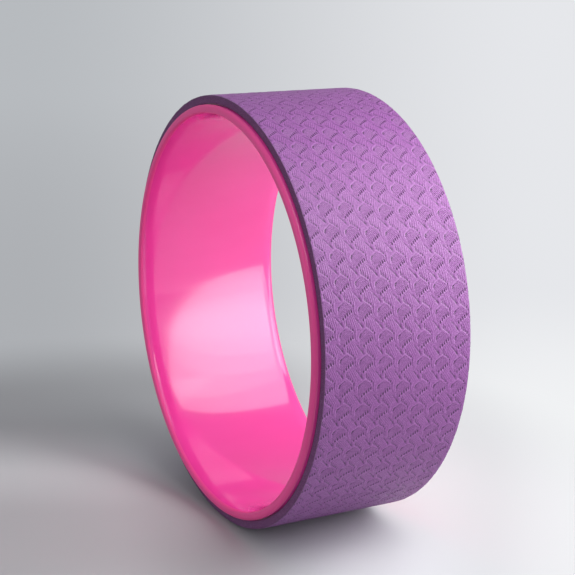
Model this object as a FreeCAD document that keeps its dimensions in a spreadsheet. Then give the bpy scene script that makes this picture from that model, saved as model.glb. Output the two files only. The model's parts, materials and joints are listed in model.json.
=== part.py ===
import FreeCAD, Part
import math
import os
import Sketcher

# Yoga wheel: a moulded plastic ring with a two-layer foam mat wrapped and bonded round its outside.
# Millimetres. The origin is the wheel's centre, the wheel's axis lies along Y and +Z is up,
# so the tread stands on a floor that lies half a tread diameter below the origin.

# Driving sizes: alias, value in millimetres, meaning
SIZES = [
    ("tread_diameter", "330", "across the mat's outer face"),
    ("mat_width", "116", "mat strip, along the wheel's axis"),
    ("top_layer_thickness", "0.6", "embossed top layer of the mat"),
    ("base_layer_thickness", "6", "foam base layer of the mat"),
    ("film_thickness", "0.4", "adhesive film between ring and mat"),
    ("film_inset", "1.5", "film held back from each edge of the mat"),
    ("seam_gap", "0.4", "between the butted ends of the wrapped strip"),
    ("ring_width", "125", "ring from lip to lip, along the wheel's axis"),
    ("ring_wall", "8", "ring wall between its two mouths"),
    ("mouth_length", "12", "axial length of the flare in each mouth"),
    ("mouth_depth", "2", "wall given up by the flare at the lip"),
    ("lip_inner_round", "1.8", "round on the lip's inner edge"),
    ("lip_outer_round", "3", "round on the lip's outer edge"),
]

# The two rounds of a lip never take more than these shares of its thickness
INNER_ROUND_SHARE = 0.36
OUTER_ROUND_SHARE = 0.56

# Two radii closer than this share of one of them are the same radius
SAME_SIZE_SHARE = 1e-6

doc = FreeCAD.newDocument("yoga_wheel")
sheet = doc.addObject("Spreadsheet::Sheet", "Sizes")
for row, (alias, number, meaning) in enumerate(SIZES, start=1):
    sheet.set(f"A{row}", alias)
    sheet.set(f"B{row}", number)
    sheet.set(f"C{row}", meaning)
    sheet.setAlias(f"B{row}", alias)
doc.recompute()

# Radii from the tread inwards, each layer seated on the next one
TREAD_RADIUS = "(Sizes.tread_diameter / 2)"
BASE_OUTER_RADIUS = f"({TREAD_RADIUS} - Sizes.top_layer_thickness)"
FILM_OUTER_RADIUS = f"({BASE_OUTER_RADIUS} - Sizes.base_layer_thickness)"
RING_OUTER_RADIUS = f"({FILM_OUTER_RADIUS} - Sizes.film_thickness)"
RING_INNER_RADIUS = f"({RING_OUTER_RADIUS} - Sizes.ring_wall)"
LIP_INNER_RADIUS = f"({RING_INNER_RADIUS} + Sizes.mouth_depth)"
LIP_THICKNESS = "(Sizes.ring_wall - Sizes.mouth_depth)"

# The wrapped strip goes once round, less the angle that its seam takes on the tread
STRIP_ANGLE = "360 deg - 2 * asin(Sizes.seam_gap / Sizes.tread_diameter)"
FULL_TURN = "360 deg"

# Point numbers that a sketch uses for a curve's two ends, and its own axes and origin
START = 1
END = 2
AXIS_X = -1
ORIGIN = (-1, 1)


def value(expression):
    """The present value of an expression on the sheet."""
    result = sheet.evalExpression(expression)
    return float(getattr(result, "Value", result))


def line(x_from, y_from, x_to, y_to):
    """A straight sketch line."""
    return Part.LineSegment(FreeCAD.Vector(x_from, y_from, 0), FreeCAD.Vector(x_to, y_to, 0))


def arc(x_centre, y_centre, radius, angle_from, angle_to):
    """A counter-clockwise sketch arc, with angles in radians."""
    circle = Part.Circle(FreeCAD.Vector(x_centre, y_centre, 0), FreeCAD.Vector(0, 0, 1), radius)
    return Part.ArcOfCircle(circle, angle_from, angle_to)


def new_body(node):
    """A body named for its node, in the wheel's own frame."""
    body = doc.addObject("PartDesign::Body", node)
    body.Label = node
    body.Placement = FreeCAD.Placement(FreeCAD.Vector(), FreeCAD.Rotation())
    return body


def section_sketch(body):
    """A sketch of a ring's section: x is the radius and y runs along the wheel's axis."""
    sketch = body.newObject("Sketcher::SketchObject", f"{body.Name}_section")
    plane = next(item for item in body.Origin.OriginFeatures if item.Role == "XY_Plane")
    sketch.AttachmentSupport = (plane, [""])
    sketch.MapMode = "FlatFace"
    return sketch


def bind(sketch, name, kind, from_point, to_point, expression):
    """A named distance between two sketch points, driven by the sheet."""
    index = sketch.addConstraint(Sketcher.Constraint(kind, *from_point, *to_point, value(expression)))
    sketch.renameConstraint(index, name)
    sketch.setExpression(f"Constraints.{name}", expression)


def revolve(body, sketch, angle):
    """Turn a section about the wheel's axis, half the angle to each side of the section."""
    turned = body.newObject("PartDesign::Revolution", f"{body.Name}_turned")
    turned.Profile = sketch
    turned.ReferenceAxis = (sketch, ["V_Axis"])
    turned.Midplane = True
    turned.setExpression("Angle", angle)
    doc.recompute()
    return turned


def wrapped_strip(node, inner_radius, outer_radius, width):
    """A flat strip bent once round the wheel, with its seam on the -X side."""
    body = new_body(node)
    sketch = section_sketch(body)
    inner = value(inner_radius)
    outer = value(outer_radius)
    half = value(width) / 2
    sketch.addGeometry([
        line(inner, -half, outer, -half),
        line(outer, -half, outer, half),
        line(outer, half, inner, half),
        line(inner, half, inner, -half),
    ])
    near_edge, outer_face, far_edge, inner_face = range(4)
    sketch.addConstraint([
        Sketcher.Constraint("Coincident", near_edge, END, outer_face, START),
        Sketcher.Constraint("Coincident", outer_face, END, far_edge, START),
        Sketcher.Constraint("Coincident", far_edge, END, inner_face, START),
        Sketcher.Constraint("Coincident", inner_face, END, near_edge, START),
        Sketcher.Constraint("Horizontal", near_edge),
        Sketcher.Constraint("Horizontal", far_edge),
        Sketcher.Constraint("Vertical", inner_face),
        Sketcher.Constraint("Symmetric", outer_face, START, outer_face, END, AXIS_X),
    ])
    bind(sketch, "inner_radius", "DistanceX", ORIGIN, (inner_face, START), inner_radius)
    bind(sketch, "outer_radius", "DistanceX", ORIGIN, (outer_face, START), outer_radius)
    bind(sketch, "width", "DistanceY", (outer_face, START), (outer_face, END), width)
    revolve(body, sketch, STRIP_ANGLE)
    return body


def rim_edges(shape, radius, half_width):
    """Names of the two circles of one radius that bound the lips' flat faces."""
    names = []
    for index, edge in enumerate(shape.Edges, start=1):
        if not isinstance(edge.Curve, Part.Circle):
            continue
        off_radius = abs(edge.Curve.Radius - radius)
        off_end = abs(abs(edge.Curve.Center.y) - half_width)
        if max(off_radius, off_end) < SAME_SIZE_SHARE * radius:
            names.append(f"Edge{index}")
    return names


def round_lips(body, base, name, radius, rounding):
    """Round the same edge of both lips."""
    edges = rim_edges(base.Shape, value(radius), value("Sizes.ring_width / 2"))
    fillet = body.newObject("PartDesign::Fillet", f"{body.Name}_{name}")
    fillet.Base = (base, edges)
    fillet.setExpression("Radius", rounding)
    doc.recompute()
    return fillet


def moulded_ring(node):
    """The plastic ring: a cylinder wall whose two mouths flare out to rounded lips."""
    body = new_body(node)
    sketch = section_sketch(body)
    outer = value(RING_OUTER_RADIUS)
    inner = value(RING_INNER_RADIUS)
    half = value("Sizes.ring_width / 2")
    length = value("Sizes.mouth_length")
    depth = value("Sizes.mouth_depth")
    flare_radius = (length**2 + depth**2) / (2 * depth)
    flare_turn = math.asin(length / flare_radius)
    straight = half - length
    sketch.addGeometry([
        line(outer, -half, outer, half),
        line(outer, half, inner + depth, half),
        arc(inner + flare_radius, straight, flare_radius, math.pi - flare_turn, math.pi),
        line(inner, straight, inner, -straight),
        arc(inner + flare_radius, -straight, flare_radius, math.pi, math.pi + flare_turn),
        line(inner + depth, -half, outer, -half),
    ])
    seat, far_lip, far_flare, bore, near_flare, near_lip = range(6)
    sketch.addConstraint([
        Sketcher.Constraint("Coincident", seat, END, far_lip, START),
        Sketcher.Constraint("Coincident", far_lip, END, far_flare, START),
        Sketcher.Constraint("Tangent", far_flare, END, bore, START),
        Sketcher.Constraint("Tangent", bore, END, near_flare, START),
        Sketcher.Constraint("Coincident", near_flare, END, near_lip, START),
        Sketcher.Constraint("Coincident", near_lip, END, seat, START),
        Sketcher.Constraint("Horizontal", far_lip),
        Sketcher.Constraint("Horizontal", near_lip),
        Sketcher.Constraint("Symmetric", seat, START, seat, END, AXIS_X),
        Sketcher.Constraint("Symmetric", bore, START, bore, END, AXIS_X),
        Sketcher.Constraint("Vertical", far_lip, END, near_lip, START),
    ])
    bind(sketch, "outer_radius", "DistanceX", ORIGIN, (seat, START), RING_OUTER_RADIUS)
    bind(sketch, "inner_radius", "DistanceX", ORIGIN, (bore, START), RING_INNER_RADIUS)
    bind(sketch, "width", "DistanceY", (seat, START), (seat, END), "Sizes.ring_width")
    bind(sketch, "mouth_depth", "DistanceX", (bore, START), (far_lip, END), "Sizes.mouth_depth")
    bind(sketch, "mouth_length", "DistanceY", (bore, START), (far_lip, END), "Sizes.mouth_length")
    turned = revolve(body, sketch, FULL_TURN)
    inner_round = f"min(Sizes.lip_inner_round; {INNER_ROUND_SHARE} * {LIP_THICKNESS})"
    outer_round = f"min(Sizes.lip_outer_round; {OUTER_ROUND_SHARE} * {LIP_THICKNESS})"
    rounded = round_lips(body, turned, "inner_rounds", LIP_INNER_RADIUS, inner_round)
    round_lips(body, rounded, "outer_rounds", RING_OUTER_RADIUS, outer_round)
    return body


nodes = [
    moulded_ring("inner_ring"),
    wrapped_strip("adhesive_film", RING_OUTER_RADIUS, FILM_OUTER_RADIUS,
                  "Sizes.mat_width - 2 * Sizes.film_inset"),
    wrapped_strip("mat_base_layer", FILM_OUTER_RADIUS, BASE_OUTER_RADIUS, "Sizes.mat_width"),
    wrapped_strip("mat_top_layer", BASE_OUTER_RADIUS, TREAD_RADIUS, "Sizes.mat_width"),
]
doc.recompute()

for item in doc.Objects:
    faults = {"Invalid", "Error"}.intersection(item.State)
    if faults:
        raise RuntimeError(f"{item.Name} failed: {sorted(faults)}")

for body in nodes:
    if body.Shape.isNull() or not body.Shape.isValid() or len(body.Shape.Solids) != 1:
        raise RuntimeError(f"{body.Label} is not one valid solid")

os.makedirs("parts", exist_ok=True)
for body in nodes:
    body.Shape.exportStep(f"parts/{body.Label}.step")
    box = body.Shape.optimalBoundingBox()
    print(f"{body.Label}: volume {body.Shape.Volume:.0f} mm3,"
          f" box {box.XLength:.2f} x {box.YLength:.2f} x {box.ZLength:.2f} mm")
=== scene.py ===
"""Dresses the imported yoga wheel: a glossy moulded ring, an embossed foam mat and a small studio."""

from __future__ import annotations

import json
import logging
import math
from dataclasses import dataclass, field
from enum import Enum
from typing import Any, Mapping, Sequence, Union

import bpy
import numpy as np
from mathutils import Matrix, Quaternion, Vector

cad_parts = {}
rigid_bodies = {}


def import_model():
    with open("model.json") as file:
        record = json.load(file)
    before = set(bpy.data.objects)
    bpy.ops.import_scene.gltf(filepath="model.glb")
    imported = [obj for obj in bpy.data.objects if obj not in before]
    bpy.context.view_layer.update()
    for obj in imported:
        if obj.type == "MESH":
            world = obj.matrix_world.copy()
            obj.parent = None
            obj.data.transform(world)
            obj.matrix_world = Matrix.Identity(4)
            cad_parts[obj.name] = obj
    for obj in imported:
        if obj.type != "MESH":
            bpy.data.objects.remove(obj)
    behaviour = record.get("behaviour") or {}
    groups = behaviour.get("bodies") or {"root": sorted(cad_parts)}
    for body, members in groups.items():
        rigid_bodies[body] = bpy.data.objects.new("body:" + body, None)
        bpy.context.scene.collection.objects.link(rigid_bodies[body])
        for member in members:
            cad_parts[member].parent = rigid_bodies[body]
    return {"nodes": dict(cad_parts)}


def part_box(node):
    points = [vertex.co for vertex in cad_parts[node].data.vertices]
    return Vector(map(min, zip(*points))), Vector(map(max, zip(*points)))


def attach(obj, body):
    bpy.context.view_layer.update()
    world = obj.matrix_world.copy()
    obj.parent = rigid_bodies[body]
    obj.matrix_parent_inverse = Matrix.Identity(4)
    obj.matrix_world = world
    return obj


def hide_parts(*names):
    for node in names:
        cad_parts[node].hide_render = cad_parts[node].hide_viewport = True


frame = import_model()

LOG = logging.getLogger("yoga_wheel")
MM = 0.001
MERGE_WITHIN = 0.001 * MM
FRAME_PIXELS = 575
BAKE_MAP = "OFBake"

Point2 = tuple[float, float]
Point3 = tuple[float, float, float]
Colour = tuple[float, float, float, float]
Run = tuple[Point2, ...]
Band = tuple[float, float]


class Body(Enum):
    """Bodies that a piece can ride on."""

    ROOT = "root"


class Node(Enum):
    """CAD nodes of the wheel."""

    RING = "inner_ring"
    FILM = "adhesive_film"
    BASE = "mat_base_layer"
    TOP = "mat_top_layer"


class Slot(Enum):
    """Material slots of the record."""

    RING = "ring_plastic"
    FILM = "adhesive"
    BASE = "mat_base_foam"
    TOP = "mat_top_foam"


class Layer(Enum):
    """Point attributes that the mat's face carries for its finish; pressed and raised also mask its painted
    shade and painted highlights, rib phase and depth its painted rib shading.
    """

    RIB_PHASE = "rib_phase"
    RIB_DEPTH = "rib_depth"
    PRESSED = "pressed"
    RAISED = "raised"


class Pick(Enum):
    """What edit mode selects."""

    POINTS = "VERT"
    EDGES = "EDGE"


class LampShape(Enum):
    """Outlines of a soft lamp."""

    OBLONG = "RECTANGLE"
    OVAL = "ELLIPSE"


class Signal:
    """A shader value that works in Python sums; each operator adds one Math node."""

    def __init__(self, sheet: "NodeSheet", socket: bpy.types.NodeSocket) -> None:
        """Wrap one output socket of a node sheet."""
        self.sheet = sheet
        self.socket = socket

    def math(self, operation: str, *others: Operand) -> "Signal":
        """Add a Math node that starts from this value.

        Args:
            operation: Math operation name.
            others: The operation's further operands.

        Returns:
            The node's result.
        """
        return self.sheet.math(operation, self, *others)

    def __add__(self, other: Operand) -> "Signal":
        """Sum."""
        return self.math("ADD", other)

    def __radd__(self, other: Operand) -> "Signal":
        """Sum with a number on the left."""
        return self.sheet.math("ADD", other, self)

    def __sub__(self, other: Operand) -> "Signal":
        """Difference."""
        return self.math("SUBTRACT", other)

    def __rsub__(self, other: Operand) -> "Signal":
        """Difference with a number on the left."""
        return self.sheet.math("SUBTRACT", other, self)

    def __mul__(self, other: Operand) -> "Signal":
        """Product."""
        return self.math("MULTIPLY", other)

    def __rmul__(self, other: Operand) -> "Signal":
        """Product with a number on the left."""
        return self.sheet.math("MULTIPLY", other, self)

    def __truediv__(self, other: Operand) -> "Signal":
        """Quotient."""
        return self.math("DIVIDE", other)

    def __rtruediv__(self, other: Operand) -> "Signal":
        """Quotient with a number on the left."""
        return self.sheet.math("DIVIDE", other, self)

    def ramp(self, low: float, high: float) -> "Signal":
        """Rise smoothly from 0 to 1.

        Args:
            low: Value that gives 0.
            high: Value that gives 1.

        Returns:
            The eased share.
        """
        settings = {"interpolation_type": "SMOOTHSTEP"}
        made = self.sheet.node("ShaderNodeMapRange", settings, {0: self, 1: low, 2: high, 3: 0.0, 4: 1.0})
        return Signal(self.sheet, made.outputs[0])


Operand = Union[float, Signal]


@dataclass(frozen=True)
class Grain:
    """One noise: repeats a metre, octaves, weight of the finer octaves, and a scale along each axis."""

    scale: float
    octaves: float
    fineness: float
    stretch: Point3 | None = None


class NodeSheet:
    """The node tree of one material, with one method that makes any node."""

    def __init__(self, name: str) -> None:
        """Start an empty material.

        Args:
            name: Name of the material.
        """
        self.material = bpy.data.materials.new(name)
        self.material.use_nodes = True
        self.tree = self.material.node_tree
        self.tree.nodes.clear()

    def node(self, kind: str, settings: Mapping[str, Any] | None = None,
             sockets: Mapping[Any, Any] | None = None) -> bpy.types.Node:
        """Make one node.

        Args:
            kind: Node type name.
            settings: Node properties, set first.
            sockets: Values or links of its inputs, by name or number.

        Returns:
            The new node.
        """
        made = self.tree.nodes.new(kind)
        for key, value in (settings or {}).items():
            setattr(made, key, value)
        for key, value in (sockets or {}).items():
            source = value.socket if isinstance(value, Signal) else value
            if isinstance(source, bpy.types.NodeSocket):
                self.tree.links.new(source, made.inputs[key])
            else:
                made.inputs[key].default_value = source
        return made

    def math(self, operation: str, *operands: Operand) -> Signal:
        """Add a Math node.

        Args:
            operation: Math operation name.
            operands: Its operands, in order.

        Returns:
            The node's result.
        """
        made = self.node("ShaderNodeMath", {"operation": operation}, dict(enumerate(operands)))
        return Signal(self, made.outputs[0])

    def place(self) -> bpy.types.NodeSocket:
        """Object coordinates."""
        return self.node("ShaderNodeTexCoord").outputs["Object"]

    def axes(self) -> tuple[Signal, Signal, Signal]:
        """Object coordinates as three values."""
        split = self.node("ShaderNodeSeparateXYZ", None, {0: self.place()})
        return tuple(Signal(self, output) for output in split.outputs)

    def layer(self, layer: Layer) -> Signal:
        """A point attribute of the piece."""
        made = self.node("ShaderNodeAttribute", {"attribute_name": layer.value})
        return Signal(self, made.outputs["Fac"])

    def noise(self, grain: Grain) -> Signal:
        """Add a noise texture on the object's own coordinates.

        Args:
            grain: Scale, octaves and stretch of the noise.

        Returns:
            The noise, about 0.5.
        """
        place = self.place()
        if grain.stretch is not None:
            place = self.node("ShaderNodeMapping", None, {0: place, 3: grain.stretch}).outputs[0]
        sockets = {"Vector": place, "Scale": grain.scale,
                   "Detail": grain.octaves, "Roughness": grain.fineness}
        return Signal(self, self.node("ShaderNodeTexNoise", None, sockets).outputs[0])

    def cells(self, scale: float) -> Signal:
        """Distance to the nearest cell centre of a Voronoi texture, in cells."""
        sockets = {"Vector": self.place(), "Scale": scale}
        return Signal(self, self.node("ShaderNodeTexVoronoi", None, sockets).outputs["Distance"])

    def blend(self, share: Operand, first: Any, second: Any) -> bpy.types.NodeSocket:
        """Mix two colours.

        Args:
            share: Weight of the second colour.
            first: Colour or link.
            second: Colour or link.

        Returns:
            The mixed colour.
        """
        sockets = {0: share, 6: first, 7: second}
        return self.node("ShaderNodeMix", {"data_type": "RGBA"}, sockets).outputs[2]

    def bump(self, height_mm: Signal) -> bpy.types.NodeSocket:
        """A normal from a height in millimetres."""
        sockets = {"Strength": 1.0, "Distance": MM, "Height": height_mm}
        return self.node("ShaderNodeBump", None, sockets).outputs[0]

    def finish(self, sockets: Mapping[str, Any]) -> bpy.types.Material:
        """Close the sheet with a Principled shader.

        Args:
            sockets: Values or links of the shader's inputs.

        Returns:
            The finished material.
        """
        shader = self.node("ShaderNodeBsdfPrincipled", None, sockets)
        self.node("ShaderNodeOutputMaterial", None, {"Surface": shader.outputs[0]})
        return self.material


@dataclass(frozen=True)
class GlossPlastic:
    """Glossy moulded plastic of the ring, with faint flow marks, wipe marks and an uneven skin."""

    name: str = "ring_gloss_plastic"
    colour: Colour = (0.93, 0.062, 0.385, 1.0)
    flow_colour: Colour = (0.90, 0.052, 0.356, 1.0)
    flow: Grain = Grain(14.0, 4.0, 0.55, (1.0, 0.35, 1.0))
    flow_band: Band = (0.35, 0.75)
    wipes: Grain = Grain(60.0, 5.0, 0.6, (1.0, 6.0, 1.0))
    wipe_band: Band = (0.45, 0.8)
    wipe_roughness: float = 0.06
    skin: Grain = Grain(110.0, 2.0, 0.4)
    skin_height: float = 0.004
    roughness: float = 0.16
    refraction: float = 1.5
    coat_roughness: float = 0.06
    lip_colour: Colour = (0.94, 0.072, 0.335, 1.0)
    lip_roughness: float = 0.46
    lip_band: Band = (0.0590, 0.0606)

    def material(self) -> bpy.types.Material:
        """Mix the finish.

        Returns:
            The finished material.
        """
        sheet = NodeSheet(self.name)
        flow, wipes, skin = (sheet.noise(grain) for grain in (self.flow, self.wipes, self.skin))
        colour = sheet.blend(flow.ramp(*self.flow_band), self.colour, self.flow_colour)
        _, axial, _ = sheet.axes()
        lip = axial.math("ABSOLUTE").ramp(*self.lip_band)
        roughness = self.roughness + self.wipe_roughness * wipes.ramp(*self.wipe_band)
        return sheet.finish({
            "Base Color": sheet.blend(lip, colour, self.lip_colour),
            "Roughness": roughness + lip * (self.lip_roughness - self.roughness),
            "IOR": self.refraction,
            "Coat Weight": 1.0 - lip,
            "Coat Roughness": self.coat_roughness,
            "Normal": sheet.bump(skin * self.skin_height),
        })


@dataclass(frozen=True)
class EmbossedFoam:
    """Matt foam of the mat's face: ribbed shells with painted shade in the pressed lines and rib valleys,
    painted highlights on the raised lines and rib crests, random grain, dark along the cut sides.
    """

    name: str = "mat_embossed_foam"
    colour: Colour = (0.292, 0.086, 0.335, 1.0)
    worn_colour: Colour = (0.315, 0.096, 0.360, 1.0)
    # The pale colour gives the raised lines rubbed wear and a painted highlight, the rib crests a painted
    # highlight, and the grain its pale flecks.
    pale_and_highlight_colour: Colour = (0.480, 0.205, 0.540, 1.0)
    # The dark colour gives the pressed lines and rib valleys painted shade, and the grain its dark flecks.
    dark_grain_and_shade_colour: Colour = (0.058, 0.012, 0.074, 1.0)
    cut_colour: Colour = (0.180, 0.074, 0.190, 1.0)
    cut_band: Band = (0.0577, 0.0579)
    mottle: Grain = Grain(45.0, 4.0, 0.6)
    worn_band: Band = (0.3, 0.75)
    rubbed_highlight_band: Band = (0.2, 1.0)
    rubbed_highlight_share: float = 0.42
    pressed_shade_band: Band = (0.10, 0.9)
    # The rib bands give the rib valleys painted shade and the rib crests a painted highlight.
    rib_shading_band: Band = (0.1, 1.0)
    rib_shading_share: float = 0.24
    rib_height: float = 0.11
    grain: Grain = Grain(1100.0, 2.0, 0.6)
    dark_grain: Band = (0.50, 0.68)
    pale_grain: Band = (0.50, 0.32)
    grain_share: float = 0.34
    grain_height: float = 0.045
    roughness: float = 0.38
    mottle_roughness: float = 0.16
    specular: float = 0.55

    def material(self) -> bpy.types.Material:
        """Mix the finish.

        Returns:
            The finished material.
        """
        sheet = NodeSheet(self.name)
        pressed, raised = sheet.layer(Layer.PRESSED), sheet.layer(Layer.RAISED)
        ribs = (sheet.layer(Layer.RIB_PHASE) * math.tau).math("COSINE") * sheet.layer(Layer.RIB_DEPTH)
        grain, mottle = sheet.noise(self.grain), sheet.noise(self.mottle)
        _, axial, _ = sheet.axes()
        cut = axial.math("ABSOLUTE").ramp(*self.cut_band)
        # Painted shade in the pressed lines and rib valleys, painted highlights on the raised lines and rib
        # crests, and random dark and pale grain.
        tints = (
            (raised.ramp(*self.rubbed_highlight_band) * self.rubbed_highlight_share, self.pale_and_highlight_colour),
            (pressed.ramp(*self.pressed_shade_band), self.dark_grain_and_shade_colour),
            ((ribs * -1.0).ramp(*self.rib_shading_band) * self.rib_shading_share, self.dark_grain_and_shade_colour),
            (ribs.ramp(*self.rib_shading_band) * self.rib_shading_share, self.pale_and_highlight_colour),
            (grain.ramp(*self.dark_grain) * self.grain_share, self.dark_grain_and_shade_colour),
            (grain.ramp(*self.pale_grain) * self.grain_share, self.pale_and_highlight_colour),
        )
        face = sheet.blend(mottle.ramp(*self.worn_band), self.colour, self.worn_colour)
        for share, tint in tints:
            face = sheet.blend(share, face, tint)
        return sheet.finish({
            "Base Color": sheet.blend(cut, face, self.cut_colour),
            "Roughness": self.roughness + self.mottle_roughness * mottle,
            "Specular IOR Level": self.specular,
            "Normal": sheet.bump(ribs * self.rib_height + grain * self.grain_height),
        })


@dataclass(frozen=True)
class CutFoam:
    """Dark closed-cell foam of the mat's base layer, as a blade leaves it."""

    name: str = "mat_cut_foam"
    colour: Colour = (0.200, 0.084, 0.212, 1.0)
    cell_colour: Colour = (0.130, 0.051, 0.139, 1.0)
    pale_colour: Colour = (0.264, 0.128, 0.275, 1.0)
    cell_scale: float = 1500.0
    cell_band: Band = (0.25, 0.75)
    streaks: Grain = Grain(220.0, 4.0, 0.65)
    streak_band: Band = (0.5, 0.8)
    streak_share: float = 0.5
    cut_height: float = 0.05
    roughness: float = 0.86
    cell_gloss: float = 0.1
    specular: float = 0.25

    def material(self) -> bpy.types.Material:
        """Mix the finish.

        Returns:
            The finished material.
        """
        sheet = NodeSheet(self.name)
        cells = sheet.cells(self.cell_scale)
        streaks = sheet.noise(self.streaks)
        colour = sheet.blend(cells.ramp(*self.cell_band), self.cell_colour, self.colour)
        colour = sheet.blend(streaks.ramp(*self.streak_band) * self.streak_share, colour, self.pale_colour)
        return sheet.finish({
            "Base Color": colour,
            "Roughness": self.roughness - self.cell_gloss * cells,
            "Specular IOR Level": self.specular,
            "Normal": sheet.bump(cells * self.cut_height + streaks * self.cut_height),
        })


@dataclass(frozen=True)
class AdhesiveFilm:
    """Cloudy double-sided film, with small trapped bubbles."""

    name: str = "film_adhesive"
    colour: Colour = (0.60, 0.55, 0.46, 1.0)
    bubble_colour: Colour = (0.70, 0.67, 0.60, 1.0)
    bubble_scale: float = 420.0
    bubble_band: Band = (0.1, 0.4)
    bubble_height: float = 0.03
    cloud: Grain = Grain(90.0, 4.0, 0.6)
    cloud_band: Band = (0.4, 0.8)
    cloud_share: float = 0.4
    roughness: float = 0.35
    cloud_roughness: float = 0.3

    def material(self) -> bpy.types.Material:
        """Mix the finish.

        Returns:
            The finished material.
        """
        sheet = NodeSheet(self.name)
        bubbles, cloud = sheet.cells(self.bubble_scale), sheet.noise(self.cloud)
        clouded = cloud.ramp(*self.cloud_band) * self.cloud_share
        colour = sheet.blend(bubbles.ramp(*self.bubble_band), self.bubble_colour, self.colour)
        return sheet.finish({
            "Base Color": sheet.blend(clouded, colour, self.bubble_colour),
            "Roughness": self.roughness + self.cloud_roughness * cloud,
            "Normal": sheet.bump(bubbles * self.bubble_height),
        })


class Bench:
    """Hand tools: a few steps that every piece needs round its edit-mode operators."""

    @staticmethod
    def clear() -> None:
        """Deselect every object."""
        for item in bpy.context.view_layer.objects:
            item.select_set(False)

    @staticmethod
    def edit(piece: bpy.types.Object, pick: Pick) -> None:
        """Open one piece in edit mode.

        Args:
            piece: Piece to shape.
            pick: What is selected.
        """
        Bench.clear()
        piece.select_set(True)
        bpy.context.view_layer.objects.active = piece
        bpy.ops.object.mode_set(mode="EDIT")
        bpy.ops.mesh.select_mode(type=pick.value)

    @staticmethod
    def close() -> None:
        """Go back to object mode."""
        bpy.ops.object.mode_set(mode="OBJECT")

    @staticmethod
    def points(piece: bpy.types.Object) -> np.ndarray:
        """Read all vertex places of a piece.

        Args:
            piece: Piece to read.

        Returns:
            The places, one row each.
        """
        flat = np.empty(len(piece.data.vertices) * 3, np.float32)
        piece.data.vertices.foreach_get("co", flat)
        return flat.reshape(-1, 3).astype(float)

    @staticmethod
    def move_points(piece: bpy.types.Object, places: np.ndarray) -> None:
        """Put every vertex of a piece at a new place."""
        piece.data.vertices.foreach_set("co", places.astype(np.float32).ravel())
        piece.data.update()

    @staticmethod
    def select_edges(piece: bpy.types.Object, chosen: np.ndarray) -> None:
        """Select some edges and nothing else, in object mode.

        Args:
            piece: Piece to select on.
            chosen: Whether each edge is selected.
        """
        mesh = piece.data
        mesh.polygons.foreach_set("select", np.zeros(len(mesh.polygons), bool))
        mesh.vertices.foreach_set("select", np.zeros(len(mesh.vertices), bool))
        mesh.edges.foreach_set("select", chosen)

    @staticmethod
    def edge_ends(piece: bpy.types.Object) -> np.ndarray:
        """Read the vertex numbers of all edges.

        Args:
            piece: Piece to read.

        Returns:
            The two numbers of each edge, one row each.
        """
        flat = np.empty(len(piece.data.edges) * 2, np.int32)
        piece.data.edges.foreach_get("vertices", flat)
        return flat.reshape(-1, 2)

    @staticmethod
    def outline(name: str, section: Sequence[Point2], turn: float) -> bpy.types.Object:
        """Draw a section by extruding one vertex round it.

        Args:
            name: Name of the piece.
            section: Radius and axial place of each corner, in metres, round the section.
            turn: Angle about the wheel's axis at which the section stands.

        Returns:
            The open piece, in edit mode, with its whole outline selected.
        """
        cosine, sine = math.cos(turn), math.sin(turn)
        spots = [Vector((radius * cosine, axial, radius * sine)) for radius, axial in section]
        Bench.clear()
        bpy.ops.mesh.primitive_plane_add(size=MM, location=spots[0])
        piece = bpy.context.object
        piece.name = piece.data.name = name
        bpy.ops.object.transform_apply(location=True, rotation=True, scale=True)
        Bench.edit(piece, Pick.POINTS)
        bpy.ops.mesh.select_all(action="SELECT")
        bpy.ops.mesh.merge(type="CENTER")
        for here, there in zip(spots, spots[1:] + spots[:1]):
            bpy.ops.mesh.extrude_region_move(TRANSFORM_OT_translate={"value": there - here})
        bpy.ops.mesh.select_all(action="SELECT")
        bpy.ops.mesh.remove_doubles(threshold=MERGE_WITHIN)
        return piece

    @staticmethod
    def spin(steps: int, angle: float) -> None:
        """Turn the selected outline about the wheel's axis and merge the doubles.

        Args:
            steps: How many steps the turn has.
            angle: The whole turn.
        """
        bpy.ops.mesh.spin(steps=steps, angle=angle, center=(0.0, 0.0, 0.0), axis=(0.0, -1.0, 0.0))
        bpy.ops.mesh.select_all(action="SELECT")
        bpy.ops.mesh.remove_doubles(threshold=MERGE_WITHIN)

    @staticmethod
    def close_shell() -> None:
        """Fill what is still open and turn every face outwards."""
        bpy.ops.mesh.select_all(action="DESELECT")
        bpy.ops.mesh.select_non_manifold()
        bpy.ops.mesh.fill_holes(sides=0)
        bpy.ops.mesh.select_all(action="SELECT")
        bpy.ops.mesh.normals_make_consistent(inside=False)

    @staticmethod
    def smooth(piece: bpy.types.Object, angle: float) -> None:
        """Shade a piece smooth.

        Args:
            piece: Piece to shade.
            angle: Edges sharper than this stay crisp.
        """
        Bench.clear()
        piece.select_set(True)
        bpy.context.view_layer.objects.active = piece
        bpy.ops.object.shade_smooth_by_angle(angle=angle)

    @staticmethod
    def fit(piece: bpy.types.Object, node: Node, slot: Slot, material: bpy.types.Material) -> None:
        """Put a finished piece in the place of its CAD node.

        Args:
            piece: Finished piece.
            node: CAD node that it stands for.
            slot: Material slot of the record; not used.
            material: Its finish.
        """
        piece.data.materials.clear()
        piece.data.materials.append(material)
        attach(piece, Body.ROOT.value)
        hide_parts(node.value)
        LOG.info("%s: %d faces, stands for %s", piece.name, len(piece.data.polygons), node.value)


def arc_points(centre: Point2, radius: float, start: float, end: float, count: int) -> list[Point2]:
    """Points along an arc, ends included.

    Args:
        centre: Centre of the arc.
        radius: Radius of the arc.
        start: First angle.
        end: Last angle.
        count: How many steps.

    Returns:
        The points in order.
    """
    angles = np.linspace(start, end, count + 1)
    x, y = centre
    return [(x + radius * math.cos(angle), y + radius * math.sin(angle)) for angle in angles]


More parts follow.
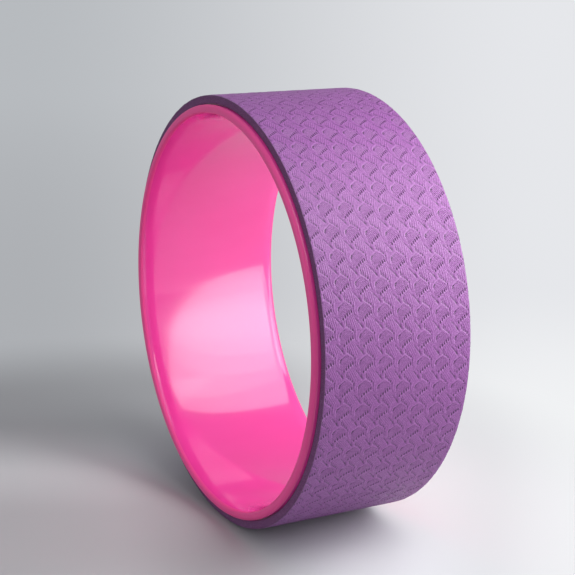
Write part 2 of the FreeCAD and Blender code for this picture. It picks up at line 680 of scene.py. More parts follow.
@dataclass
class MouldedRing:
    """The plastic ring, spun from its section: a straight wall, flared mouths and rounded lips."""

    wall: float = 8.0 * MM
    mouth_length: float = 12.0 * MM
    mouth_depth: float = 2.0 * MM
    bore_steps: int = 10
    inner_round: float = 1.8 * MM
    outer_round: float = 3.0 * MM
    flare_steps: int = 14
    round_steps: int = 7
    turn_steps: int = 360
    smooth_angle: float = math.radians(35.0)
    finish: GlossPlastic = field(default_factory=GlossPlastic)

    def section(self) -> list[Point2]:
        """The ring's section, as radius and axial place.

        Returns:
            Corners in order round the section, from the near outside through the bore.
        """
        _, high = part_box(Node.RING.value)
        outer, half = high.x, high.y
        inner = outer - self.wall
        bore_end = half - self.mouth_length
        bore = [(inner, axial) for axial in np.linspace(0.0, bore_end, self.bore_steps + 1)[:-1]]
        far = bore + self.mouth(inner, outer, half)
        return [(radius, -axial) for radius, axial in reversed(far[1:])] + far

    def mouth(self, inner: float, outer: float, half: float) -> list[Point2]:
        """Draw the flare of a mouth and its rounded lip, each arc tangent to what it meets.

        Args:
            inner: The ring's inner radius.
            outer: The ring's outer radius.
            half: Half the ring's width.

        Returns:
            Points from the bore to the ring's outside.
        """
        bend = (self.mouth_length**2 + self.mouth_depth**2) / (2 * self.mouth_depth)
        turn = math.asin((self.mouth_length - self.inner_round) / (bend - self.inner_round))
        land_from = inner + bend - (bend - self.inner_round) * math.cos(turn)
        flare = arc_points((inner + bend, half - self.mouth_length), bend,
                           math.pi, math.pi - turn, self.flare_steps)
        inside = arc_points((land_from, half - self.inner_round), self.inner_round,
                            math.pi - turn, math.pi / 2, self.round_steps)
        outside = arc_points((outer - self.outer_round, half - self.outer_round), self.outer_round,
                             math.pi / 2, 0.0, self.round_steps)
        return flare + inside[1:] + outside

    def build(self) -> bpy.types.Object:
        """Spin the ring and dress it.

        Returns:
            The finished ring.
        """
        ring = Bench.outline("moulded_ring", self.section(), 0.0)
        Bench.spin(self.turn_steps, math.tau)
        Bench.close_shell()
        Bench.close()
        Bench.smooth(ring, self.smooth_angle)
        Bench.fit(ring, Node.RING, Slot.RING, self.finish.material())
        return ring


@dataclass(frozen=True)
class Stroke:
    """One line of the emboss, in millimetres; its height is negative where it is pressed in."""

    run: Run
    half_width: float
    height: float


@dataclass(frozen=True)
class Fan:
    """The ribbed field of one shell, in millimetres.

    Ribs run along the shell's upper edge and bend down into legs, so each rib is counted from the upper edge
    or from the first leg, whichever is nearer.
    """

    outline: Run
    leg_start: Point2
    leg_lean: float
    leg_pitch: float
    top_start: Point2
    top_slope: float
    top_pitch: float
    bend: float = 3.0
    strength: float = 1.0

    def count(self, x: np.ndarray, y: np.ndarray) -> np.ndarray:
        """Count the ribs between the shell's edge and each point.

        Args:
            x: Places along the wheel's axis.
            y: Places down the tread.

        Returns:
            The counts, whole on the crest of a rib.
        """
        legs = (x - self.leg_start[0] - self.leg_lean * (y - self.leg_start[1])) / self.leg_pitch
        drop = (y - self.top_start[1]) - self.top_slope * (x - self.top_start[0])
        tops = drop / math.hypot(1.0, self.top_slope) / self.top_pitch
        return -np.logaddexp(-self.bend * legs, -self.bend * tops) / self.bend


def notch(x: float, y: float, length: float, lean: float, half_width: float, depth: float) -> Stroke:
    """A short line, pressed in, or raised where its depth is negative.

    Args:
        x: Place of its middle along the wheel's axis.
        y: Place of its middle down the tread.
        length: Length down the tread.
        lean: Sideways run for each millimetre down.
        half_width: Half its width.
        depth: How deep it is pressed in.

    Returns:
        The stroke.
    """
    return Stroke(((x - lean * length / 2, y - length / 2), (x + lean * length / 2, y + length / 2)),
                  half_width, -depth)


@dataclass
class ShellEmboss:
    """The repeat of the emboss: two overlapping ribbed shells on a slanted lattice.

    Places are millimetres from the peak of the first shell, x along the wheel's axis and y down the tread.
    """

    across: Point2 = (15.232, 2.175)
    down: Point2 = (-0.274, 17.828)
    cell_step: float = 0.1
    plain_level: float = 0.16
    full_depth: float = 0.54
    curve_steps: int = 6
    rib_fade: float = 0.8
    pressed_full: float = 0.30
    raised_full: float = 0.20
    first_fan: Fan = Fan(
        outline=((-5.5, 9.2), (-5.4, 6.8), (-4.9, 5.2), (-3.6, 3.9), (-1.9, 2.8), (0.1, 1.5), (1.6, 2.5),
                 (3.2, 3.7), (4.8, 5.0), (5.9, 6.2), (6.1, 8.0), (4.7, 8.6), (3.0, 9.7), (1.3, 10.9),
                 (-0.4, 12.1), (-2.2, 13.3), (-3.6, 13.9), (-4.7, 12.6), (-5.4, 10.8)),
        leg_start=(-22.0, 0.0), leg_lean=0.0, leg_pitch=1.66,
        top_start=(-2.3, 2.0), top_slope=-0.66, top_pitch=0.95)
    second_fan: Fan = Fan(
        outline=((-1.5, -3.6), (0.4, -5.3), (2.2, -6.4), (4.0, -7.5), (5.6, -8.3), (7.2, -7.6), (8.2, -5.6),
                 (8.4, -3.4), (9.6, -0.8), (9.6, 2.4), (8.6, 4.0), (7.2, 4.6), (5.8, 3.0), (4.3, 1.3),
                 (2.8, -0.1), (1.4, -0.8), (-0.3, -0.6), (-1.3, -1.6)),
        leg_start=(-0.2, -1.6), leg_lean=-0.40, leg_pitch=1.48,
        top_start=(1.4, -6.0), top_slope=-0.6, top_pitch=0.92, strength=0.6)
    raised: tuple[Stroke, ...] = (
        Stroke(((-5.85, 9.4), (-6.15, 7.0), (-5.75, 4.8), (-4.3, 3.2), (-2.3, 2.0), (-0.4, 0.95)),
               0.46, 0.16),
        Stroke(((-0.4, 0.95), (0.2, 0.75), (1.5, 1.85), (3.1, 3.05), (4.8, 4.35), (5.7, 5.2)), 0.42, 0.10),
        Stroke(((-1.5, 13.75), (0.7, 12.35), (2.4, 11.2), (4.1, 10.15), (5.6, 9.4)), 0.42, 0.18),
        Stroke(((-1.55, 13.9), (-1.95, 15.3), (-1.75, 16.6), (-1.0, 17.9)), 0.40, 0.12),
        Stroke(((-0.35, 14.1), (-0.5, 15.6), (-0.3, 16.9)), 0.36, 0.10),
        Stroke(((7.35, 4.2), (7.15, 6.4), (7.2, 8.4), (7.7, 10.2), (8.3, 11.0)), 0.42, 0.12),
        notch(-1.1, 12.2, 1.0, 0.15, 0.36, -0.20),
        notch(0.62, 10.87, 1.2, 0.2, 0.36, -0.20),
        notch(2.3, 9.7, 1.4, 0.2, 0.36, -0.20),
        notch(3.95, 8.7, 1.6, 0.25, 0.36, -0.20),
    )
    pressed: tuple[Stroke, ...] = (
        Stroke(((-5.05, 6.6), (-4.75, 5.3), (-4.2, 4.7)), 0.55, -0.25),
        Stroke(((-4.4, 4.75), (-3.3, 4.05), (-1.9, 3.1), (-0.8, 2.4)), 0.40, -0.18),
        Stroke(((0.9, 0.15), (2.2, 1.15), (3.8, 2.25), (5.4, 3.4)), 0.34, -0.13),
        Stroke(((-7.5, -6.4), (-6.3, -5.1), (-5.3, -3.9), (-4.1, -2.3), (-2.9, -0.8), (-2.3, 0.3)),
               0.38, -0.23),
        Stroke(((-3.4, -3.7), (-3.3, -2.4), (-2.9, -1.0)), 0.45, -0.16),
        notch(-1.95, 12.95, 1.2, 0.15, 0.34, 0.42),
        notch(-0.2, 11.5, 1.5, 0.15, 0.34, 0.44),
        notch(1.45, 10.25, 1.7, 0.2, 0.34, 0.44),
        notch(3.15, 9.15, 1.8, 0.25, 0.34, 0.44),
        notch(4.75, 8.25, 1.8, 0.25, 0.34, 0.42),
        notch(0.65, -1.6, 2.5, 0.1, 0.42, 0.24),
        notch(2.15, -0.4, 2.2, 0.0, 0.38, 0.20),
        notch(3.5, 1.2, 1.8, 0.05, 0.36, 0.20),
        notch(5.05, 2.9, 1.4, 0.05, 0.40, 0.22),
        notch(6.3, 4.95, 0.7, -0.1, 0.50, 0.26),
        Stroke(((6.35, 6.4), (6.35, 8.2), (6.75, 9.7), (7.5, 10.9)), 0.36, -0.15),
        notch(-4.2, -6.2, 0.9, 0.0, 0.45, 0.12),
    )

    def axes(self) -> np.ndarray:
        """The lattice's two steps, as the columns of a matrix."""
        return np.array([self.across, self.down]).T

    def curve(self, run: Run) -> np.ndarray:
        """Draw a smooth curve through the points of a run.

        Args:
            run: Points of the run.

        Returns:
            Points along the curve, one row each.
        """
        spots = np.array(run, float)
        if len(spots) < 3:
            return spots
        held = np.vstack([2 * spots[0] - spots[1], spots, 2 * spots[-1] - spots[-2]])
        share = np.linspace(0.0, 1.0, self.curve_steps + 1)[:-1, None]
        pieces = []
        for before, here, there, after in zip(held[:-3], held[1:-2], held[2:-1], held[3:]):
            pieces.append(0.5 * (2 * here + (there - before) * share
                                 + (2 * before - 5 * here + 4 * there - after) * share**2
                                 + (3 * here - before - 3 * there + after) * share**3))
        return np.vstack([*pieces, spots[-1:]])

    def distance(self, spots: np.ndarray, curve: np.ndarray) -> np.ndarray:
        """Measure how far points lie from a curve.

        Args:
            spots: Points, one row each.
            curve: Points along the curve.

        Returns:
            The distance of each point.
        """
        nearest = np.full(len(spots), np.inf)
        for here, there in zip(curve[:-1], curve[1:]):
            step = there - here
            share = np.clip((spots - here) @ step / (step @ step), 0.0, 1.0)
            nearest = np.minimum(nearest, np.linalg.norm(spots - here - share[:, None] * step, axis=1))
        return nearest

    def neighbours(self) -> list[np.ndarray]:
        """Shifts to this repeat and those round it."""
        return [self.axes() @ np.array([i, j], float) for i in range(-2, 3) for j in range(-2, 3)]

    def cell_spots(self) -> tuple[np.ndarray, tuple[int, int]]:
        """Fill one repeat with points.

        Returns:
            The points, and how many there are down and across.
        """
        count_x = round(math.hypot(*self.across) / self.cell_step)
        count_y = round(math.hypot(*self.down) / self.cell_step)
        down, across = np.mgrid[0:count_y, 0:count_x]
        shares = np.stack([across.ravel() / count_x, down.ravel() / count_y])
        return (self.axes() @ shares).T, (count_y, count_x)

    def cell_heights(self, strokes: Sequence[Stroke]) -> np.ndarray:
        """Sum some strokes over one repeat.

        Args:
            strokes: Strokes to sum.

        Returns:
            The heights, in rows down the repeat.
        """
        spots, shape = self.cell_spots()
        height = np.zeros(len(spots))
        for stroke in strokes:
            curve = self.curve(stroke.run)
            for shift in self.neighbours():
                away = self.distance(spots - shift, curve)
                height += stroke.height * np.exp(-(away / stroke.half_width) ** 2)
        return height.reshape(shape)

    def sample(self, cell: np.ndarray, x: np.ndarray, y: np.ndarray) -> np.ndarray:
        """Read a repeat at any places on the tread.

        Args:
            cell: Values over one repeat.
            x: Places along the wheel's axis.
            y: Places down the tread.

        Returns:
            The values there.
        """
        count_y, count_x = cell.shape
        shares = np.linalg.inv(self.axes()) @ np.stack([x, y])
        across, down = (shares[0] % 1.0) * count_x, (shares[1] % 1.0) * count_y
        left, top = np.floor(across).astype(int), np.floor(down).astype(int)
        right_share, low_share = across - left, down - top
        left, top = left % count_x, top % count_y
        right, low = (left + 1) % count_x, (top + 1) % count_y
        upper = cell[top, left] * (1 - right_share) + cell[top, right] * right_share
        lower = cell[low, left] * (1 - right_share) + cell[low, right] * right_share
        return upper * (1 - low_share) + lower * low_share

    def inside(self, spots: np.ndarray, outline: Run) -> np.ndarray:
        """Find the points that lie inside an outline.

        Args:
            spots: Points, one row each.
            outline: Corners of the outline.

        Returns:
            Whether each point lies inside.
        """
        corners = np.array(outline, float)
        found = np.zeros(len(spots), bool)
        for (x_from, y_from), (x_to, y_to) in zip(corners, np.roll(corners, -1, axis=0)):
            if y_from == y_to:
                continue
            crosses = (y_from > spots[:, 1]) != (y_to > spots[:, 1])
            limit = (x_to - x_from) * (spots[:, 1] - y_from) / (y_to - y_from) + x_from
            found ^= crosses & (spots[:, 0] < limit)
        return found

    def ribs(self, x: np.ndarray, y: np.ndarray) -> tuple[np.ndarray, np.ndarray]:
        """Rib count and rib depth at any places on the tread.

        Args:
            x: Places along the wheel's axis.
            y: Places down the tread.

        Returns:
            Ribs counted from the shell's edge, and a depth that fades out at the edge.
        """
        home = np.floor(np.linalg.inv(self.axes()) @ np.stack([x, y]))
        local = np.stack([x, y], axis=1) - (self.axes() @ home).T
        phase, depth = np.zeros(len(x)), np.zeros(len(x))
        for fan in (self.first_fan, self.second_fan):
            rim = np.array(fan.outline + fan.outline[:1], float)
            for shift in self.neighbours():
                spots = local - shift
                found = self.inside(spots, fan.outline)
                if not found.any():
                    continue
                phase[found] = fan.count(spots[found, 0], spots[found, 1])
                to_rim = self.distance(spots[found], rim)
                depth[found] = fan.strength * np.clip(to_rim / self.rib_fade, 0.0, 1.0)
        return phase, depth


@dataclass
class MatBase:
    """The mat's dark foam base, a strip bent once round the ring with its ends butted."""

    seam_gap: float = 0.4 * MM
    edge_round: float = 0.35 * MM
    round_steps: int = 3
    side_steps: int = 8
    turn_steps: int = 540
    side_hollow: float = 0.12 * MM
    side_wave: float = 0.10 * MM
    wave_share: float = 0.5
    waves: tuple[Point3, ...] = ((1.0, 5.0, 0.4), (0.6, 13.0, 2.0), (0.4, 31.0, 1.1))
    smooth_angle: float = math.radians(50.0)
    fill: float = 1.0
    finish: CutFoam = field(default_factory=CutFoam)

    def section(self, inner: float, outer: float, half: float) -> list[Point2]:
        """The strip's section, with softened corners and slightly hollow cut sides.

        Args:
            inner: Inner radius.
            outer: Outer radius.
            half: Half the strip's width.

        Returns:
            Corners in order round the section.
        """
        size = self.edge_round
        far = arc_points((inner + size, half - size), size, math.pi, math.pi / 2, self.round_steps)
        for share in np.linspace(0.0, 1.0, self.side_steps + 1)[1:-1]:
            radius = inner + size + share * (outer - inner - 2 * size)
            far.append((radius, half - self.side_hollow * math.sin(math.pi * share)))
        far += arc_points((outer - size, half - size), size, math.pi / 2, 0.0, self.round_steps)
        return far + [(radius, -axial) for radius, axial in reversed(far)]

    def wave_sides(self, strip: bpy.types.Object) -> None:
        """Let the cut sides wander by a tenth of a millimetre, as a hand-held blade does.

        Each wave has a share, a number of swings round the wheel, and a start.

        Args:
            strip: The strip.
        """
        spots = Bench.points(strip)
        turn = np.arctan2(spots[:, 2], spots[:, 0])
        wander = sum(share * np.sin(swings * turn + start) for share, swings, start in self.waves)
        spots[:, 1] -= np.sign(spots[:, 1]) * self.side_wave * (1.0 + self.wave_share * wander)
        Bench.move_points(strip, spots)

    def build(self) -> bpy.types.Object:
        """Spin the strip and dress it.

        Returns:
            The finished base.
        """
        _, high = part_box(Node.BASE.value)
        _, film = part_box(Node.FILM.value)
        outer, inner, half = high.x, film.x, high.y
        gap = self.seam_gap / outer
        strip = Bench.outline("mat_base", self.section(inner, outer, half), math.pi + gap / 2)
        Bench.spin(self.turn_steps, math.tau - gap)
        Bench.close_shell()
        Bench.close()
        self.wave_sides(strip)
        Bench.smooth(strip, self.smooth_angle)
        Bench.fit(strip, Node.BASE, Slot.BASE, self.finish.material())
        return strip


@dataclass
class MatFace:
    """The mat's thin top layer, embossed with ribbed shells and wrapped round the base.

    The emboss and the rolled edge are in millimetres. On the layer's own map, edges are shares left free.
    """

    seam_gap: float = 0.4 * MM
    grid_step: Point2 = (0.55 * MM, 0.40 * MM)
    peak_axial: float = -37.96
    peak_turn: float = math.radians(89.54)
    edge_roll: float = 0.16
    edge_reach: float = 0.5
    smooth_angle: float = math.radians(60.0)
    fill: float = 1.0
    face_above: float = -0.1 * MM
    map_rows: int = 3
    map_edge: float = 0.006
    row_edge: float = 0.01
    band_edge: float = 0.15
    hidden_share: float = 0.06
    no_span: float = 1e-6
    emboss: ShellEmboss = field(default_factory=ShellEmboss)
    finish: EmbossedFoam = field(default_factory=EmbossedFoam)

    def flat_strip(self, length: float, width: float, thickness: float) -> bpy.types.Object:
        """Model the strip flat: a fine grid on top, plain sides, ends and back.

        Args:
            length: Length round the wheel.
            width: Width along the wheel's axis.
            thickness: Thickness of the layer.

        Returns:
            The closed strip, lying on its back with its face at height 0.
        """
        Bench.clear()
        bpy.ops.mesh.primitive_grid_add(x_subdivisions=round(length / self.grid_step[0]),
                                        y_subdivisions=round(width / self.grid_step[1]), size=1.0)
        strip = bpy.context.object
        strip.name = strip.data.name = "mat_face"
        strip.scale = (length, width, 1.0)
        bpy.ops.object.transform_apply(location=True, rotation=True, scale=True)
        spots, ends = Bench.points(strip), Bench.edge_ends(strip)
        along_side = np.abs(spots[:, 1]) > width / 2 - self.grid_step[1] / 4
        # Edge mode is set before the choice of edges, because setting it changes what is selected
        Bench.edit(strip, Pick.EDGES)
        Bench.close()
        Bench.select_edges(strip, along_side[ends].all(axis=1))
        Bench.edit(strip, Pick.EDGES)
        bpy.ops.mesh.extrude_edges_move(TRANSFORM_OT_translate={"value": (0.0, 0.0, -thickness)})
        bpy.ops.mesh.bridge_edge_loops()
        Bench.close_shell()
        Bench.close()
        return strip

    def lay_map(self, strip: bpy.types.Object) -> None:
        """Lay the face out in rows on a map of its own, and the hidden ends, sides and back in narrow bands.

        Args:
            strip: The flat strip.
        """
        mesh, flat, rows = strip.data, Bench.points(strip), self.map_rows
        corners = np.empty(len(mesh.loops), np.int32)
        starts, sizes = np.empty((2, len(mesh.polygons)), np.int32)
        mesh.loops.foreach_get("vertex_index", corners)
        mesh.polygons.foreach_get("loop_start", starts)
        mesh.polygons.foreach_get("loop_total", sizes)
        along, across, up = ((flat - flat.min(axis=0)) / np.ptp(flat, axis=0))[corners].T
        spans = [np.maximum.reduceat(run, starts) - np.minimum.reduceat(run, starts)
                 for run in (along, across)]
        face = np.repeat(np.minimum.reduceat(up, starts) > 0.5, sizes)
        end, side = (np.repeat(span < self.no_span, sizes) for span in spans)
        middle = np.add.reduceat(along, starts) / sizes
        row = np.repeat(np.clip(np.floor(middle * rows), 0, rows - 1), sizes)
        sides = rows + row + rows * (across > 0.5)
        band = np.select([end, side], [3 * rows + (along > 0.5), sides], row)
        shown, bands = 1.0 - self.hidden_share, 3 * rows + 2
        rise = self.within(np.where(end | side, up, across), self.band_edge)
        hidden = shown + (band + rise) * self.hidden_share / bands
        run = self.within(np.where(end, across, along * rows - row), self.map_edge)
        level = np.where(face, (row + self.within(across, self.row_edge)) * shown / rows, hidden)
        while mesh.uv_layers:
            mesh.uv_layers.remove(mesh.uv_layers[0])
        made = mesh.uv_layers.new(name=BAKE_MAP)
        made.data.foreach_set("uv", np.stack([run, level], axis=1).astype(np.float32).ravel())

    @staticmethod
    def within(share: np.ndarray, edge: float) -> np.ndarray:
        """Shares of a band that is narrower by an edge on both sides."""
        return edge + (1.0 - 2.0 * edge) * share

    def wrap(self, strip: bpy.types.Object, radius: float, half: float) -> None:
        """Press the emboss into the strip and bend it round the wheel.

        Args:
            strip: The flat strip.
            radius: Tread radius.
            half: Half the strip's width.
        """
        spots = Bench.points(strip)
        turn = spots[:, 0] / radius
        axial = spots[:, 1] / MM
        x, y = axial - self.peak_axial, (self.peak_turn - turn) * radius / MM
        raised = self.emboss.sample(self.emboss.cell_heights(self.emboss.raised), x, y)
        pressed = self.emboss.sample(self.emboss.cell_heights(self.emboss.pressed), x, y)
        height = raised + pressed - self.emboss.plain_level
        along = np.abs(spots[:, 0]) / MM
        to_edge = np.minimum(half / MM - np.abs(axial), along.max() - along)
        roll = self.edge_roll * np.exp(-(to_edge / self.edge_reach) ** 2)
        relief = np.clip(height - roll, -self.emboss.full_depth, 0.0)
        face = spots[:, 2] > self.face_above
        reach = radius + spots[:, 2] + np.where(face, relief, 0.0) * MM
        Bench.move_points(strip, np.stack([reach * np.cos(turn), spots[:, 1], reach * np.sin(turn)], axis=1))
        phase, depth = self.emboss.ribs(x, y)
        # Pressed and raised shares also mask the face's painted shade and painted highlights, and the rib
        # phase and depth its painted rib shading.
        carried = {
            Layer.RIB_PHASE: phase,
            Layer.RIB_DEPTH: depth,
            Layer.PRESSED: np.clip(-pressed / self.emboss.pressed_full, 0.0, 1.0),
            Layer.RAISED: np.clip(raised / self.emboss.raised_full, 0.0, 1.0),
        }
        for layer, values in carried.items():
            made = strip.data.attributes.new(layer.value, "FLOAT", "POINT")
            made.data.foreach_set("value", values.astype(np.float32))

    def build(self) -> bpy.types.Object:
        """Model, emboss, wrap and dress the layer.

        Returns:
            The finished face.
        """
        _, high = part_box(Node.TOP.value)
        _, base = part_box(Node.BASE.value)
        radius, half = high.x, high.y
        length = math.tau * radius - self.seam_gap
        strip = self.flat_strip(length, 2 * half, radius - base.x)
        self.lay_map(strip)
        self.wrap(strip, radius, half)
        Bench.smooth(strip, self.smooth_angle)
        Bench.fit(strip, Node.TOP, Slot.TOP, self.finish.material())
        return strip


@dataclass
class BondedFilm:
    """The adhesive film, kept as its CAD node."""

    finish: AdhesiveFilm = field(default_factory=AdhesiveFilm)

    def dress(self) -> None:
        """Give the node its finish."""
        node = frame["nodes"][Node.FILM.value]
        node.data.materials.clear()
        node.data.materials.append(self.finish.material())
        LOG.info("%s: dressed", node.name)


@dataclass(frozen=True)
class SoftLamp:
    """One soft lamp: its place, where it points, its size, power and outline, and how far it leans."""

    name: str
    place: Point3
    aim: Point3
    size: Point2
    power: float
    shape: LampShape = LampShape.OVAL
    lean: float = 0.0

    def hang(self) -> bpy.types.Object:
        """Hang the lamp where the camera doesn't see it.

        Returns:
            The lamp.
        """
        data = bpy.data.lights.new(self.name, "AREA")
        data.shape = self.shape.value
        data.size, data.size_y = self.size
        data.energy = self.power
        lamp = bpy.data.objects.new(self.name, data)
        bpy.context.scene.collection.objects.link(lamp)
        lamp.location = self.place
        facing = (Vector(self.aim) - lamp.location).to_track_quat("-Z", "Y")
        lamp.rotation_euler = (facing @ Quaternion((0.0, 0.0, 1.0), self.lean)).to_euler()
        lamp.visible_camera = False
        return lamp


@dataclass(frozen=True)
class KeyLight:
    """The key: a tall oval that leans, and narrower panes in front of it that brighten its middle.

    The panes stand a few millimetres apart, because lamps in one plane hide each other.
    """

    place: Point3 = (0.335, 0.3797, 0.1813)
    throw: Point3 = (-0.3085, -0.2090, -0.3335)
    size: Point2 = (0.38, 0.974)
    power: float = 2.15
    lean: float = math.radians(-12.0)
    pane_place: Point3 = (0.3828, 0.3155, 0.1684)
    pane_step: Point3 = (-0.0037, -0.0025, -0.0040)
    pane_width: float = 0.24
    panes: tuple[tuple[str, float, float], ...] = (
        ("key_outer", 0.80, 0.38),
        ("key_middle", 0.56, 0.265),
        ("key_inner", 0.36, 0.17),
        ("key_heart", 0.20, 0.06),
    )

    def lamp(self, name: str, place: Vector, size: Point2, power: float) -> SoftLamp:
        """Point one oval the way that the key throws its light.

        Args:
            name: Name of the lamp.
            place: Its place.
            size: Its width and height.
            power: Its power in watts.

        Returns:
            The lamp.
        """
        aim = place + Vector(self.throw)
        return SoftLamp(name, tuple(place), tuple(aim), size, power, LampShape.OVAL, self.lean)

    def lamps(self) -> list[SoftLamp]:
        """Set out the oval and its panes; each pane has a name, a height and a power.

        Returns:
            The lamps, from the largest to the smallest.
        """
        made = [self.lamp("key", Vector(self.place), self.size, self.power)]
        for step, (name, height, power) in enumerate(self.panes):
            place = Vector(self.pane_place) + step * Vector(self.pane_step)
            made.append(self.lamp(name, place, (self.pane_width, height), power))
        return made


@dataclass(frozen=True)
class StudioPaper:
    """Pale paper of the floor: lit near the wheel but graded with painted light and shade, and a glowing
    pale ground farther off, graded with painted light falloff.

    The camera and the gloss see the pale paper; what it throws back on the wheel comes from a greyer one.
    Depth runs in metres across the floor, and bearing is the sideways place divided by the depth.
    """

    name: str = "floor_paper"
    # Painted light and shade on the lit paper: darker to the left, paler to the right, darker again far to
    # the right, and a painted pool of light in front to the left, dimmer nearest the front.
    painted_dim_paper: Colour = (0.46, 0.465, 0.48, 1.0)
    painted_bright_paper: Colour = (0.72, 0.73, 0.745, 1.0)
    painted_pool_colour: Colour = (0.75, 0.755, 0.77, 1.0)
    painted_pool_front_colour: Colour = (0.575, 0.575, 0.59, 1.0)
    painted_side_shade: Colour = (0.57, 0.58, 0.595, 1.0)
    painted_pool_front_depth: Band = (1.20, 1.09)
    painted_side_shade_bearing: Band = (0.08, 0.16)
    painted_pool_bearing: Band = (-0.05, -0.13)
    painted_pool_depth: Band = (1.33, 1.19)
    painted_falloff_bearing: Band = (-0.05, 0.05)
    bounce_colour: Colour = (0.47, 0.47, 0.48, 1.0)
    # Painted light falloff on the glowing ground: darker to the left, paler to the right, each changing with
    # depth.
    painted_dim_ground: Colour = (0.475, 0.495, 0.520, 1.0)
    painted_bright_ground: Colour = (0.790, 0.800, 0.830, 1.0)
    painted_near_dim: Colour = (0.418, 0.431, 0.454, 1.0)
    painted_near_bright: Colour = (0.880, 0.890, 0.905, 1.0)
    dim_depth: Band = (1.5, 4.5)
    bright_depth: Band = (1.3, 1.9)
    across: Point2 = (0.4618, 0.8870)
    reach: float = 1.118
    nearest: float = 0.3
    ground_bearing: Band = (-0.19, 0.19)
    lit_centre: Point2 = (-0.10, -0.14)
    lit_edge: Band = (0.28, 0.50)
    specks: Grain = Grain(900.0, 2.0, 0.5)
    speck_share: float = 0.05

    def material(self) -> bpy.types.Material:
        """Mix the finish.

        Returns:
            The finished material.
        """
        sheet = NodeSheet(self.name)
        x, y, _ = sheet.axes()
        sideways = x * self.across[0] + y * self.across[1]
        depth = y * self.across[0] - x * self.across[1] + self.reach
        off_x, off_y = x - self.lit_centre[0], y - self.lit_centre[1]
        far = (off_x * off_x + off_y * off_y).math("SQRT").ramp(*self.lit_edge)
        bearing = sideways / depth.math("MAXIMUM", self.nearest)
        specks = sheet.noise(self.specks)
        # The glowing ground: painted light falloff, darker to the left and paler to the right.
        dim = sheet.blend(depth.ramp(*self.dim_depth), self.painted_near_dim, self.painted_dim_ground)
        bright = sheet.blend(depth.ramp(*self.bright_depth), self.painted_near_bright, self.painted_bright_ground)
        ground = sheet.blend(bearing.ramp(*self.ground_bearing), dim, bright)
        # The lit paper: painted shade to the left, painted light to the right, painted shade again far to
        # the right.
        paper = sheet.blend(bearing.ramp(*self.painted_falloff_bearing), self.painted_dim_paper, self.painted_bright_paper)
        paper = sheet.blend(bearing.ramp(*self.painted_side_shade_bearing), paper, self.painted_side_shade)
        # A painted pool of light in front to the left, dimmer nearest the front.
        pool = bearing.ramp(*self.painted_pool_bearing) * depth.ramp(*self.painted_pool_depth)
        painted_pool_paper = sheet.blend(depth.ramp(*self.painted_pool_front_depth), self.painted_pool_colour, self.painted_pool_front_colour)
        paper = sheet.blend(pool, paper, painted_pool_paper)
        paper = sheet.blend(specks * self.speck_share, paper, self.bounce_colour)
        path = sheet.node("ShaderNodeLightPath")
        seen = Signal(sheet, path.outputs["Is Camera Ray"])
        for ray in ("Is Glossy Ray", "Is Transmission Ray"):
            seen = seen.math("MAXIMUM", Signal(sheet, path.outputs[ray]))
        lit = sheet.node("ShaderNodeBsdfDiffuse", None, {"Color": paper})
        bounce = sheet.node("ShaderNodeBsdfDiffuse", None, {"Color": self.bounce_colour})
        even = sheet.node("ShaderNodeEmission", None, {"Color": ground, "Strength": 1.0})
        pale = sheet.node("ShaderNodeMixShader", None, {0: far, 1: lit.outputs[0], 2: even.outputs[0]})
        whole = sheet.node("ShaderNodeMixShader", None, {0: seen, 1: bounce.outputs[0], 2: pale.outputs[0]})
        sheet.node("ShaderNodeOutputMaterial", None, {"Surface": whole.outputs[0]})
        return sheet.material


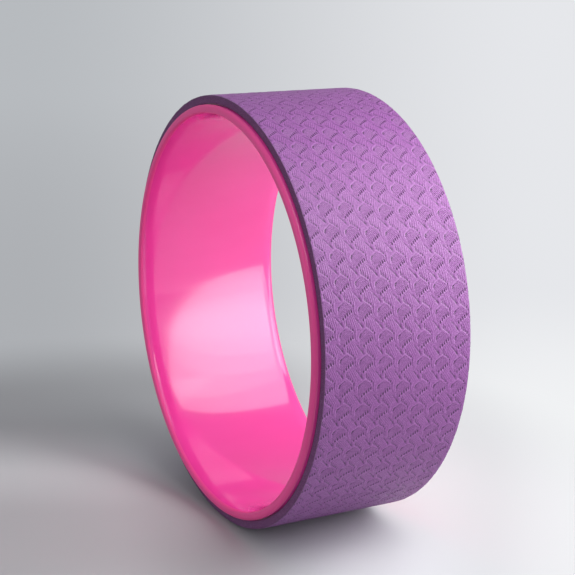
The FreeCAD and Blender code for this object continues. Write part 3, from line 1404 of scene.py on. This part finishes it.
@dataclass
class Studio:
    """Pale floor, soft lamps round the wheel, a dim even room, and the camera."""

    azimuth: float = math.radians(62.475)
    elevation: float = math.radians(14.057)
    distance: float = 1.15357
    aim_right: float = -0.000554
    aim_up: float = 0.013305
    focal_pixels: float = 1482.2
    sensor: float = 36.0
    floor_size: float = 60.0
    paper: StudioPaper = field(default_factory=StudioPaper)
    key: KeyLight = field(default_factory=KeyLight)
    lamps: tuple[SoftLamp, ...] = (
        SoftLamp("near_heart", (0.361, 0.035, 0.3735), (0.13, 0.02, 0.08), (0.30, 0.30), 0.55),
        SoftLamp("rear_wide", (0.133, 0.740, 0.073), (-0.038, 0.028, -0.131), (1.98, 1.80), 0.9),
        SoftLamp("rear_heart", (0.180, 0.660, 0.120), (-0.10, 0.0, -0.05), (0.36, 0.62), 1.6),
        SoftLamp("top", (0.45, 0.12, 1.2), (0.0, 0.0, 0.0), (0.8, 0.8), 2.0, LampShape.OBLONG),
        SoftLamp("fill", (-0.35, -1.60, 0.15), (0.0, 0.0, 0.0), (1.2, 0.9), 4.3, LampShape.OBLONG),
    )
    room_colour: Colour = (0.50, 0.51, 0.53, 1.0)
    room_strength: float = 0.72

    def back(self) -> Vector:
        """Direction from the wheel to the camera."""
        return Vector((math.sin(self.azimuth) * math.cos(self.elevation),
                       -math.cos(self.azimuth) * math.cos(self.elevation), math.sin(self.elevation)))

    def build_camera(self) -> None:
        """Set the camera at the photo's viewing angle."""
        back = self.back()
        right = Vector((math.cos(self.azimuth), math.sin(self.azimuth), 0.0))
        aim = right * self.aim_right + right.cross(-back) * self.aim_up
        data = bpy.data.cameras.new("camera")
        data.sensor_width = self.sensor
        data.lens = self.focal_pixels * self.sensor / FRAME_PIXELS
        camera = bpy.data.objects.new("camera", data)
        bpy.context.scene.collection.objects.link(camera)
        camera.location = back * self.distance
        camera.rotation_euler = (aim - camera.location).to_track_quat("-Z", "Y").to_euler()
        bpy.context.scene.camera = camera

    def build_floor(self) -> None:
        """Lay the floor under the tread."""
        low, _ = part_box(Node.TOP.value)
        Bench.clear()
        bpy.ops.mesh.primitive_plane_add(size=self.floor_size, location=(0.0, 0.0, low.z))
        floor = bpy.context.object
        floor.name = "floor"
        floor.data.materials.append(self.paper.material())

    def build_room(self) -> None:
        """Give the room its soft even light."""
        scene = bpy.context.scene
        scene.view_settings.view_transform = "Standard"
        scene.world = bpy.data.worlds.new("room")
        scene.world.use_nodes = True
        light = scene.world.node_tree.nodes["Background"]
        light.inputs["Color"].default_value = self.room_colour
        light.inputs["Strength"].default_value = self.room_strength

    def build(self) -> None:
        """Set up the whole studio."""
        self.build_camera()
        self.build_floor()
        lamps = [*self.key.lamps(), *self.lamps]
        for lamp in lamps:
            lamp.hang()
        self.build_room()
        LOG.info("studio: camera, floor, %d lamps and room", len(lamps))


def main() -> None:
    """Build every piece in order."""
    logging.basicConfig(level=logging.INFO, format="%(name)s: %(message)s")
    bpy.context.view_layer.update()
    MouldedRing().build()
    BondedFilm().dress()
    MatBase().build()
    MatFace().build()
    Studio().build()


if __name__ == "__main__":
    main()
